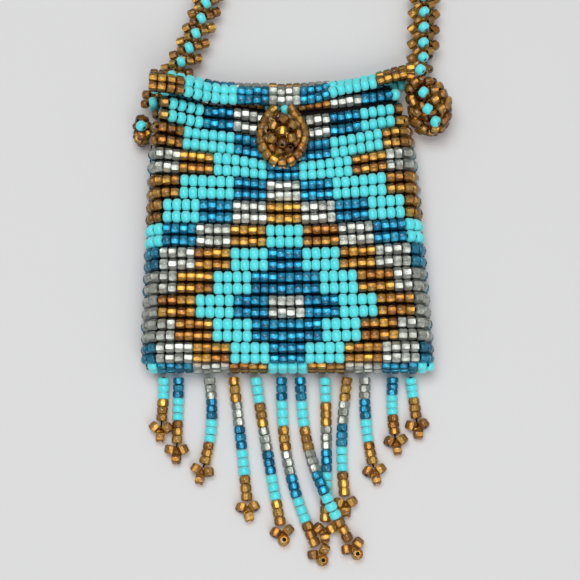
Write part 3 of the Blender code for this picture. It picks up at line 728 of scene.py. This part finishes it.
def silver(name):
    """Silver lining, laid from a solution on the rough wall of a bead's hole.

    The eye sees bright metal through the glass, blurred by the wall below it and dull where
    it has tarnished.
    """
    material, tree, output, coordinates = new_material(name)
    bright, dull = colours().lining, colours().lining_dull
    shader = add_node(
        tree, "ShaderNodeBsdfPrincipled",
        {"Base Color": toned(tree, coordinates, bright, dull, LINING_CLOUDS),
         "Metallic": 0.75, "Roughness": 0.42,
         "Normal": bump(tree, coordinates, LINING_GRAIN, 0.3, SHALLOW)},
    )  # fmt: skip
    tree.links.new(shader.outputs[0], output.inputs["Surface"])
    return material


def nylon_thread(name):
    """Black beading thread, twisted from nylon filaments.

    The eye sees dark lines with next to no highlight, because each ply shades the next.
    """
    material, tree, output, coordinates = new_material(name)
    twist = add_node(
        tree, "ShaderNodeTexWave", {"Vector": coordinates, "Scale": THREAD_TWIST, "Distortion": 1.5},
        bands_direction="DIAGONAL",
    )  # fmt: skip
    relief = add_node(
        tree, "ShaderNodeBump",
        {"Height": twist.outputs["Fac"], "Strength": 0.5, "Distance": SHALLOW},
    )  # fmt: skip
    shader = add_node(
        tree, "ShaderNodeBsdfPrincipled",
        {"Base Color": colours().thread, "Roughness": 0.8, "Specular IOR Level": 0.15,
         "Normal": relief.outputs["Normal"]},
    )
    tree.links.new(shader.outputs[0], output.inputs["Surface"])
    return material


def matt_board(name):
    """Pale matt board, pressed from pulp: an even ground with a faint tooth and no shine."""
    material, tree, output, coordinates = new_material(name)
    shader = add_node(
        tree, "ShaderNodeBsdfPrincipled",
        {"Base Color": colours().floor, "Roughness": 0.75,
         "Normal": bump(tree, coordinates, BOARD_TOOTH, 0.1, BOARD_DEPTH)},
    )  # fmt: skip
    tree.links.new(shader.outputs[0], output.inputs["Surface"])
    return material


# One black for the threads, for the holes' mouths and for the sheet under the beadwork; in the last two it
# is also painted shade
@functools.lru_cache(maxsize=None)
def thread_and_shade_material():
    return nylon_thread("black_nylon_thread_and_shade")


@functools.lru_cache(maxsize=None)
def bead_materials():
    """The glasses in the order of STRIPES, then the black in the holes, which is thread with painted shade,
    then the lining.
    """
    palette = colours()
    return (
        clear_glass("crystal_glass", palette.crystal, palette.crystal_deep, palette.crystal_rim),
        clear_glass("blue_glass", palette.blue, palette.blue_deep, palette.blue_rim),
        opaque_glass("turquoise_glass", palette.turquoise, palette.turquoise_deep, palette.turquoise_painted_sheen),
        clear_glass("amber_glass", palette.amber, palette.amber_deep, palette.amber_rim),
        thread_and_shade_material(),
        silver("silver_lining"),
    )


# Pieces


def half_row(row, side, beads):
    """Beads from the pattern's middle to one side: (colour, distance of its middle, length)."""
    distance = 0.0
    for k in range(COLUMNS // 2 + SIDE_COLUMNS):
        column = COLUMNS // 2 + k if side > 0 else COLUMNS // 2 - 1 - k
        colour = stripe_at(row, column)
        length = getattr(sizes(), colour) * (1 + beads.near(0.02))
        yield colour, distance + length / 2, length
        distance += length


def row_pitch(row, across):
    """How far apart the two lines of the front are that this row lies between."""
    above, below = (front_surface(across, row_share(row + k, across)) for k in (0, 1))
    return (below - above).length


def front_beads():
    """The front: its beads crowd a little towards the mouth and go on down its sides."""
    beads = Beads(1)
    least, most = FRONT_DIAMETERS
    for row in range(FRONT_ROWS):
        for side in (-1, 1):
            for colour, distance, length in half_row(row, side, beads):
                about = side * distance / half_length(row / FRONT_ROWS)
                share = row_share(row + 0.5, max(min(about, 1), -1))
                widening = COLUMN_PITCH_AT_FOLD - COLUMN_PITCH_AT_MOUTH
                pitch = COLUMN_PITCH_AT_MOUTH + widening * share
                scale = pitch / COLUMN_PITCH
                reach = distance * scale / half_length(share)
                if reach + length * scale * FRONT_EDGE_SHARE / half_length(share) > 1:
                    break
                place, along, normal = surface_frame(front_surface, side * reach, share)
                place += normal * beads.near(LOOSE)
                diameter = min(max(row_pitch(row, side * reach), least), most) * CROWDING
                beads.add(colour, place, along, normal, length * scale * FILLS, diameter)
    return beads.made("front_panel_beads")


def even_cloth_beads(name, surface, rows, first_row, seed, sides):
    """A sheet of beadwork whose rows all reach from edge to edge."""
    beads = Beads(seed, sides)
    for row in range(rows):
        share = (row + 0.5) / rows
        for side in (-1, 1):
            halves = list(half_row(first_row + row, side, beads))[: COLUMNS // 2]
            whole = sum(length for _, _, length in halves)
            width = (surface(side, share) - surface(0, share)).length
            for colour, distance, length in halves:
                place, along, normal = surface_frame(surface, side * distance / whole, share)
                place += normal * beads.near(LOOSE)
                length *= width / whole * FILLS
                beads.add(colour, place, along, normal, length, sizes().diameter)
    return beads.made(name)


def thread_tubes(name, paths, thickness, sides=4):
    """Threads along paths, in the pouch's coordinates, as one mesh."""
    bm = bmesh.new()
    for path in paths:
        path = [Vector(point) for point in path]
        rings = []
        for k, point in enumerate(path):
            ahead = (path[min(k + 1, len(path) - 1)] - path[max(k - 1, 0)]).normalized()
            side = ahead.cross(UP)
            side = side.normalized() if side.length > 1e-3 else Vector((1, 0, 0))
            up = side.cross(ahead)
            ring = []
            for corner in range(sides):
                turn = 2 * math.pi * corner / sides
                offset = (side * math.cos(turn) + up * math.sin(turn)) * thickness / 2
                ring.append(bm.verts.new((point + offset + bag_shift()) * MM))
            rings.append(ring)
        for ring, following in zip(rings, rings[1:]):
            for k in range(sides):
                after = (k + 1) % sides
                bm.faces.new((ring[k], ring[after], following[after], following[k]))
        bm.faces.new(rings[0][::-1])
        bm.faces.new(rings[-1])
    bmesh.ops.recalc_face_normals(bm, faces=bm.faces)
    return meshed(name, bm, thread_and_shade_material())


def edge_stitches():
    """The threads that sew front and back together, looping round the side edges."""
    paths = []
    for side in (-1, 1):
        points = []
        for row in range(2 * (FRONT_ROWS - STITCHES_END)):
            share = 1 - (row + 2) / (2 * FRONT_ROWS)
            across, out, rise = FRONT_STITCH if row % 2 else BACK_STITCH
            if row % 2:
                place = front_surface(side * across, share)
            else:
                place = back_surface(side * across, 1 - share)
            points.append(place + Vector((side * out, 0, rise)))
        paths.append(route_curve(points)[::4])
    return thread_tubes("edge_stitches", paths, EDGE_THREAD)


def thread_and_shade_sheet(name, surface, columns, rows):
    """A dark sheet in the middle of the beadwork: partly its real black thread, partly painted shade in the
    gaps between the beads.
    """
    bm = bmesh.new()
    made = bmesh.ops.create_grid(bm, x_segments=columns, y_segments=rows, size=1)["verts"]
    for vertex in made:
        across, share = vertex.co.x, (vertex.co.y + 1) / 2
        place, _, normal = surface_frame(surface, across, share)
        vertex.co = (place - normal * THREAD_BELOW + bag_shift()) * MM
    return meshed(name, bm, thread_and_shade_material())


def route_curve(points):
    """A smooth curve through given route points, as dense points."""
    points = [Vector(point) for point in points]
    ends = [2 * points[0] - points[1]] + points + [2 * points[-1] - points[-2]]
    dense = []
    for a, b, c, d in zip(ends, ends[1:], ends[2:], ends[3:]):
        for t in np.linspace(0, 1, 12, endpoint=False):
            pull = 2 * b + (c - a) * t + (2 * a - 5 * b + 4 * c - d) * t**2
            dense.append((pull + (3 * b - a - 3 * c + d) * t**3) / 2)
    return dense + [points[-1]]


def coil_route():
    """The coiled part: a turn on the table, one inside it, then one on top of both."""
    radius = ROPE_DIAMETER / 2
    outer = COIL_MIDDLE_RADIUS + radius
    inner = COIL_MIDDLE_RADIUS - radius
    ground = radius + CLEAR_OF_FLOOR

    def eased(travelled, stretch):
        start, sweep = stretch
        return smooth((travelled - start) / sweep)

    def first_turn(travelled):
        away = outer + (inner - outer) * eased(travelled, COIL_MOVES_IN)
        return away + COIL_JOIN_REACH * (1 - eased(travelled, COIL_JOINS))

    stations = []
    for travelled in range(0, COIL_SWEEP, COIL_STEP):
        if travelled < COIL_CLIMBS[0]:
            away = first_turn(travelled)
            height = ground
        else:
            height = ground + ROPE_DIAMETER * NESTING * eased(travelled, COIL_CLIMBS)
            away = outer - math.sqrt(max(ROPE_DIAMETER**2 - (height - ground) ** 2, 0))
            if COIL_CARRIED[0] < travelled < COIL_CARRIED[1]:
                below = first_turn(travelled - 360)  # one turn before
                away = COIL_MIDDLE_RADIUS
                height = ground + math.sqrt(ROPE_DIAMETER**2 - (away - below) ** 2)
            leaving = eased(travelled, COIL_LEAVES)
            away += COIL_LEAVE_REACH * leaving
            if leaving > 0:
                over = max(ROPE_DIAMETER**2 - (away - outer) ** 2, 0)
                height = max(ground + math.sqrt(over), COIL_LEAVE_HEIGHT)
        turn = math.radians(COIL_FROM - travelled)
        x = COIL_CENTRE[0] + away * math.cos(turn)
        y = COIL_CENTRE[1] + away * math.sin(turn)
        stations.append((x, y, height))
    return stations


def strap_route():
    """The rope's whole middle line, from the bag's left corner round the coil to its right one."""
    return route_curve(STRAP_LEFT_ROUTE + coil_route() + STRAP_RIGHT_ROUTE[::-1])


def path_length(path):
    return sum((b - a).length for a, b in zip(path, path[1:]))


def rope_beads(beads, dense):
    """A rope of beads: rows of five across it, the middle one turquoise, above and below."""
    total = path_length(dense)
    path = even_points(dense, 2401)

    def frame_at(distance):
        share = min(max(distance / total, 0.001), 0.999)
        forward = Vector(on_line(path, share + 0.001) - on_line(path, share - 0.001)).normalized()
        return Vector(on_line(path, share)), forward, forward.cross(UP).normalized()

    span = total - ROPE_FIRST - ROPE_LAST
    count = round(span / sizes().rope_unit)
    unit = span / count
    for k in range(count + 1):
        distance = ROPE_FIRST + unit * k
        share = distance / total
        twist = smooth((share - ROPE_LEANS_FROM) / ROPE_LEANS_OVER)
        from_middle = abs(2 * share - 1)
        spread = 1 + ROPE_SPREAD * smooth((from_middle - ROPE_SPREADS_FROM) / ROPE_SPREADS_OVER)
        place, forward, side = frame_at(distance)
        tilt = math.radians(ROPE_LEAN - ROPE_LEAN_CHANGE * twist)
        for face in (1, -1):
            along = forward * math.cos(tilt) + side * math.sin(tilt) * face
            centre = place + UP * ROPE_FACE_RISE * face
            beads.add("turquoise", centre, along, UP, *ROPE_TURQUOISE_BEAD)
        for flank in (1, -1):
            for face in (1, -1):
                place, forward, side = frame_at(distance + flank * face * (1.0 + 0.55 * twist))
                centre = place + side * 1.0 * flank * spread + UP * ROPE_FLANK_RISE * face
                along = forward * 0.6 * face + side - UP * 0.5 * flank * face
                beads.add("amber", centre, along, UP, *ROPE_FLANK_BEAD, 0.12)
            ahead = distance + flank * (2.3 + 0.8 * twist)
            if 1.5 < ahead < total - 1:
                place, forward, side = frame_at(ahead)
                along = forward * 0.7 + side - UP * 0.4 * flank
                centre = place + side * ROPE_SIDE_REACH * flank * spread + UP * 0.3
                beads.add("amber", centre, along, UP, *ROPE_SIDE_BEAD, 0.12)
            place, forward, side = frame_at(distance + flank * unit / 4 + unit / 2)
            beads.add("amber", place, forward, UP, *ROPE_CORE_BEAD, 0.1)


def knob_beads(name, seed, middle, half, count, lean, turquoise, joining=()):
    """A sewn end of the bead rope: beads packed round a knob, a few of them turquoise."""
    beads = Beads(seed)
    middle = Vector(middle)
    reach = Vector([size - KNOB_BEAD_RADIUS for size in half])

    def on_knob(out, depth):
        """Boxy rather than round, and leaning to the left at its top, where the rope comes in."""
        out = out / sum(abs(part) ** KNOB_SQUARENESS for part in out) ** (1 / KNOB_SQUARENESS)
        return middle + out * reach * depth - Vector((lean * smooth(out.y), 0, 0))

    tops = []
    for x, y in turquoise:
        share = (y - middle.y) / reach.y
        across = (x - middle.x + lean * smooth(share)) / reach.x
        out = Vector((across, share, math.sqrt(max(1 - across**2 - share**2, 0.05)))).normalized()
        place = on_knob(out, 1) + out * KNOB_PROUD
        place = Vector((x, y, max(place.z, middle.z + half[2] / 2)))
        along = Vector((0.75, -0.6, 0.1))
        beads.add("turquoise", place, along, out, *KNOB_LARGE_BEAD, 0.15)
        tops.append(place)
    for depth in KNOB_SHELLS:
        shell = round(count * depth**2)
        for k in range(shell):
            height = 1 - KNOB_COVERED * (k + 0.5) / shell
            flat = math.sqrt(1 - height**2)
            turn = KNOB_TURN * k
            out = Vector((math.cos(turn) * flat, math.sin(turn) * flat, height))
            place = on_knob(out, depth)
            if min((place - top).length for top in tops) < KNOB_CLEAR:
                continue
            along = out.cross(Vector((beads.near(0.5), 0.3, 1)))
            beads.add("amber", place, along.normalized(), UP, *KNOB_SMALL_BEAD, 0.25, 0.3)
    for place, along in joining:
        beads.add("amber", Vector(place), Vector(along), UP, *KNOB_LARGE_BEAD, 0.05, 0.3)
    return beads.made(name)


def bead_string(beads, dense, names):
    """Beads threaded one after another along a dense path."""
    lengths = [getattr(sizes(), colour) for colour in names]
    total = path_length(dense)
    ends = np.concatenate([[0.0], np.cumsum(lengths)]) / sum(lengths)
    path = even_points(dense, 401)
    fit = total / sum(lengths)
    for colour, start, stop, length in zip(names, ends, ends[1:], lengths):
        middle = Vector(on_line(path, (start + stop) / 2))
        along = Vector(on_line(path, stop)) - Vector(on_line(path, start))
        fitted = length * fit * FILLS_STRING
        beads.add(colour, middle, along.normalized(), UP, fitted, sizes().diameter, 0.05, 0.5)


def fringe_colour(bead, beads):
    """The colour of a strand's bead, counted from the fold: groups of three up from its tip."""
    order = ("amber", "turquoise", "blue", "crystal")
    return order[((beads - 1 - bead) // 3) % 4]


def fringe_path(number):
    """Dense points down one strand, from below the fold to its tip on the table."""
    column, _, tip_x, tip_y, bow = FRINGE[number - 1]
    resting = BEAD_DIAMETER / 2 + 0.02
    below_fold = FOLD_MIDDLE - BEAD_DIAMETER / 2 - GAP
    across = 2 * column / COLUMNS - 1
    start = Vector((HEM_HALF_WIDTH * across, below_fold, SEAM_HEIGHT * 0.75))
    tip = Vector((tip_x, tip_y, resting))
    points = []
    for share in np.linspace(0, 1, 61):
        point = start.lerp(tip, share)
        point.x += bow * math.sin(math.pi * share)
        point.z = resting + (start.z - resting) * (1 - smooth(share / DROP_SHARE))
        if number == FRINGE_OVER:
            hump = 1 - abs(share - HUMP_MIDDLE) / (1 - HUMP_MIDDLE)
            point.z += (BEAD_DIAMETER + 2 * GAP) * smooth(hump)
        points.append(point)
    return points


def strand_beads(number):
    """One strand: its groups of three beads, then a picot of three amber ones at its tip."""
    count = FRINGE[number - 1][1] * 3
    path = fringe_path(number)
    body_length = count * sizes().amber
    body_share = body_length / (body_length + PICOT_LENGTH)
    body = path[: max(int(len(path) * body_share), 3)]
    beads = Beads(300 + number)
    bead_string(beads, body, [fringe_colour(bead, count) for bead in range(count)])
    ahead = (path[-1] - body[-1]).normalized()
    side = ahead.cross(UP).normalized()
    diameter = sizes().diameter
    for flank in (1, -1):
        place = body[-1] + ahead * PICOT_SIDE_PLACE[0] + side * flank * PICOT_SIDE_PLACE[1]
        beads.add("amber", place, side * 0.5 * flank + ahead, UP, PICOT_BEAD_LENGTH, diameter, 0.3)
    last = body[-1] + ahead * PICOT_TIP_AHEAD
    if number in TIPS_ON_END:
        beads.add("amber", last, Vector((0.2, 0.1, 1)), Vector((0, 1, 0)), PICOT_BEAD_LENGTH, diameter, 0.1)
    else:
        beads.add("amber", last, side, UP, PICOT_BEAD_LENGTH, diameter, 0.2, 0.5)
    return beads.made(f"fringe_beads_{number:02d}")


def button_beads():
    """A domed cluster: beads sewn down every way, a few of them on end."""
    beads = Beads(71)
    seat = front_top(BUTTON_X, BUTTON_Y - BUTTON_NECK_RADIUS) + GAP
    middle = Vector((BUTTON_X, BUTTON_Y, seat + BUTTON_MIDDLE_RISE))
    reach = Vector(BUTTON_REACH)
    for count, lean, on_end in BUTTON_RINGS:
        for k in range(count):
            turn = 2 * math.pi * (k + 0.5 * (count == 6)) / count
            flat = math.sin(math.radians(lean))
            out = Vector((flat * math.cos(turn), flat * math.sin(turn), math.cos(math.radians(lean))))
            along = out if k in on_end else out.cross(Vector((1, beads.near(1), beads.near(0.5))))
            up = Vector((0.3, 1, 0.2)) if k in on_end else out
            beads.add("amber", middle + out * reach, along.normalized(), up, *BUTTON_BEAD, 0.2)
    return beads.made("button_beads")


def loop_beads():
    """The closing loop from the flap's edge round the button, with a bead between its ends."""
    points = []
    for angle in np.linspace(LOOP_MOUTH_ANGLE, 360 - LOOP_MOUTH_ANGLE, 121):
        turn = math.radians(angle)
        x = BUTTON_X + LOOP_HALF_WIDTH * math.sin(turn)
        y = BUTTON_Y + LOOP_HALF_HEIGHT * math.cos(turn)
        y += LOOP_ENDS_RISE * smooth((math.cos(turn) - LOOP_ENDS_FROM) / LOOP_ENDS_OVER)
        seat = front_top(x, y - BEAD_DIAMETER / 2) + GAP
        points.append(Vector((x, y, seat + BEAD_DIAMETER / 2)))
    beads = Beads(72)
    bead_string(beads, points, ["amber"] * LOOP_BEADS)
    tie = (points[0] + points[-1]) / 2 + Vector(LOOP_TIE_PLACE)
    beads.add("turquoise", tie, Vector((1, 0.2, 0)), UP, *LOOP_TIE_BEAD)
    return beads.made("closure_loop_beads")


def carry(piece, slot, *nodes):
    """The piece rides on the bag and stands for its nodes. Its slot is not used."""
    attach(piece, "root")
    if nodes:
        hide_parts(*nodes)
    return piece


class BEADWORK_OT_camera(bpy.types.Operator):
    """Puts the camera where the photograph was taken from"""

    bl_idname = "beadwork.camera"
    bl_label = "Camera"

    def execute(self, context):
        data = bpy.data.cameras.new("photo_camera")
        data.lens = LENS
        data.clip_start = 0.01
        camera = linked("photo_camera", data)
        tilt = math.radians(TILT)
        target = (Vector(TARGET) + bag_shift()) * MM
        camera.location = target - Vector((0, math.sin(tilt), -math.cos(tilt))) * DISTANCE
        camera.rotation_euler = (tilt, 0, 0)
        context.scene.camera = camera
        return {"FINISHED"}


class BEADWORK_OT_strap(bpy.types.Operator):
    """Makes the bead rope neck strap, coiled where the photograph doesn't show it, and its ends"""

    bl_idname = "beadwork.strap"
    bl_label = "Bead rope strap"

    def execute(self, context):
        dense = strap_route()
        beads = Beads(11, sides=7)
        rope_beads(beads, dense)
        strap = carry(beads.made("strap_beads"), "amber_glass", "strap_left", "strap_right", "strap_coil")
        path = [(Vector(point) + bag_shift()) * MM for point in even_points(dense, 241)]
        tie = carry(self.tie(), "amber_glass")
        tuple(path[0])
        path_length(path)  # fmt: skip
        right_end = knob_beads("strap_end_right_beads", 13, *RIGHT_KNOB, JOINING_BEADS)
        carry(right_end, "amber_glass", "strap_end_right")
        carry(knob_beads("strap_end_left_beads", 14, *LEFT_KNOB), "amber_glass", "strap_end_left")
        return {"FINISHED"}

    def tie(self):
        """A few turns of thread round all the turns of the coil."""
        radius = ROPE_DIAMETER / 2
        middle_y = COIL_CENTRE[1] + COIL_MIDDLE_RADIUS
        top = radius + ROPE_DIAMETER * NESTING
        middles = ((middle_y - radius, radius), (middle_y + radius, radius), (middle_y, top))
        ropes = [Vector(middle) for middle in middles]
        points = []
        for k in range(TIE_TURNS * TIE_STEPS + 1):
            turn = math.radians(360 / TIE_STEPS * k)
            out = Vector((math.cos(turn), math.sin(turn)))
            place = max(ropes, key=out.dot) + out * (radius + TIE_CLEARANCE)
            points.append((COIL_CENTRE[0] + TIE_ADVANCE * k, place.x, max(place.y, TIE_LOWEST)))
        return thread_tubes("coil_tie", [points], COIL_THREAD, sides=6)


class BEADWORK_OT_pouch(bpy.types.Operator):
    """Makes the front, the back and the flap of the pouch"""

    bl_idname = "beadwork.pouch"
    bl_label = "Pouch"

    def execute(self, context):
        carry(front_beads(), "turquoise_glass", "front_panel")
        back = even_cloth_beads("back_panel_beads", back_surface, BACK_ROWS, FRONT_ROWS, 2, 8)
        carry(back, "turquoise_glass", "back_panel")
        first_row = FRONT_ROWS + BACK_ROWS - 1
        flap = even_cloth_beads("flap_beads", flap_surface, FLAP_ROWS + 1, first_row, 3, 10)
        carry(flap, "turquoise_glass", "flap")
        # Dark sheets under the beadwork: the thread, and painted shade in the gaps between the beads
        for name, surface, rows in (
            ("front_panel_thread_and_shade", front_surface, FRONT_ROWS),
            ("back_panel_thread_and_shade", back_surface, BACK_ROWS),
            ("flap_thread_and_shade", flap_surface, FLAP_ROWS * 3),
        ):
            carry(thread_and_shade_sheet(name, surface, COLUMNS, rows), "turquoise_glass")
        carry(edge_stitches(), "turquoise_glass")
        return {"FINISHED"}


class BEADWORK_OT_fastening(bpy.types.Operator):
    """Makes the bead button and the loop round it"""

    bl_idname = "beadwork.fastening"
    bl_label = "Button and loop"

    def execute(self, context):
        carry(button_beads(), "amber_glass", "button")
        carry(loop_beads(), "amber_glass", "closure_loop")
        return {"FINISHED"}


class BEADWORK_OT_fringe(bpy.types.Operator):
    """Makes the twelve strands of the fringe"""

    bl_idname = "beadwork.fringe"
    bl_label = "Fringe"

    def execute(self, context):
        paths = []
        for number in range(1, len(FRINGE) + 1):
            carry(strand_beads(number), "turquoise_glass", f"fringe_strand_{number:02d}")
            paths.append(fringe_path(number)[::4][:-2])
        carry(thread_tubes("fringe_thread", paths, FRINGE_THREAD), "turquoise_glass")
        return {"FINISHED"}


class BEADWORK_OT_stage(bpy.types.Operator):
    """Makes the pale floor, the soft lights and the pale surroundings"""

    bl_idname = "beadwork.stage"
    bl_label = "Stage"

    def execute(self, context):
        bm = bmesh.new()
        bmesh.ops.create_grid(bm, x_segments=1, y_segments=1, size=2.0)
        mesh = bpy.data.meshes.new("floor")
        bm.to_mesh(mesh)
        bm.free()
        floor = linked("floor", mesh)
        mesh.materials.append(matt_board("pale_matt_board"))
        self.lamp("key_light", *KEY_LIGHT)
        self.lamp("fill_light", *FILL_LIGHT)
        world = bpy.data.worlds.new("surroundings")
        context.scene.world = world
        world.use_nodes = True
        background = world.node_tree.nodes["Background"]
        background.inputs["Color"].default_value = AMBIENT_COLOUR
        background.inputs["Strength"].default_value = AMBIENT
        context.scene.view_settings.view_transform = "Standard"
        return {"FINISHED"}

    def lamp(self, name, place, size, power):
        """A square lamp that faces the origin."""
        data = bpy.data.lights.new(name, "AREA")
        data.size = size
        data.energy = power
        lamp = linked(name, data)
        lamp.location = place
        lamp.rotation_euler = (-Vector(place)).to_track_quat("-Z", "Y").to_euler()


class BEADWORK_PT_panel(bpy.types.Panel):
    """Lists the steps, then the sizes and colours"""

    bl_label = "Beadwork"
    bl_idname = "BEADWORK_PT_panel"
    bl_space_type = "VIEW_3D"
    bl_region_type = "UI"
    bl_category = "Beadwork"

    def draw(self, context):
        for kind in STEPS:
            self.layout.operator(kind.bl_idname)
        for group in (context.scene.bead_sizes, context.scene.bead_colours):
            for name in group.__annotations__:
                self.layout.prop(group, name)


STEPS = (
    BEADWORK_OT_camera,
    BEADWORK_OT_strap,
    BEADWORK_OT_pouch,
    BEADWORK_OT_fastening,
    BEADWORK_OT_fringe,
    BEADWORK_OT_stage,
)
CLASSES = (BeadSizes, BeadColours, *STEPS, BEADWORK_PT_panel)


def register():
    for kind in CLASSES:
        bpy.utils.register_class(kind)
    bpy.types.Scene.bead_sizes = bpy.props.PointerProperty(type=BeadSizes)
    bpy.types.Scene.bead_colours = bpy.props.PointerProperty(type=BeadColours)


def unregister():
    del bpy.types.Scene.bead_colours
    del bpy.types.Scene.bead_sizes
    for kind in reversed(CLASSES):
        bpy.utils.unregister_class(kind)


def main():
    register()
    bpy.ops.beadwork.camera()
    bpy.ops.beadwork.strap()
    bpy.ops.beadwork.pouch()
    bpy.ops.beadwork.fastening()
    bpy.ops.beadwork.fringe()
    bpy.ops.beadwork.stage()


if __name__ == "__main__":
    main()
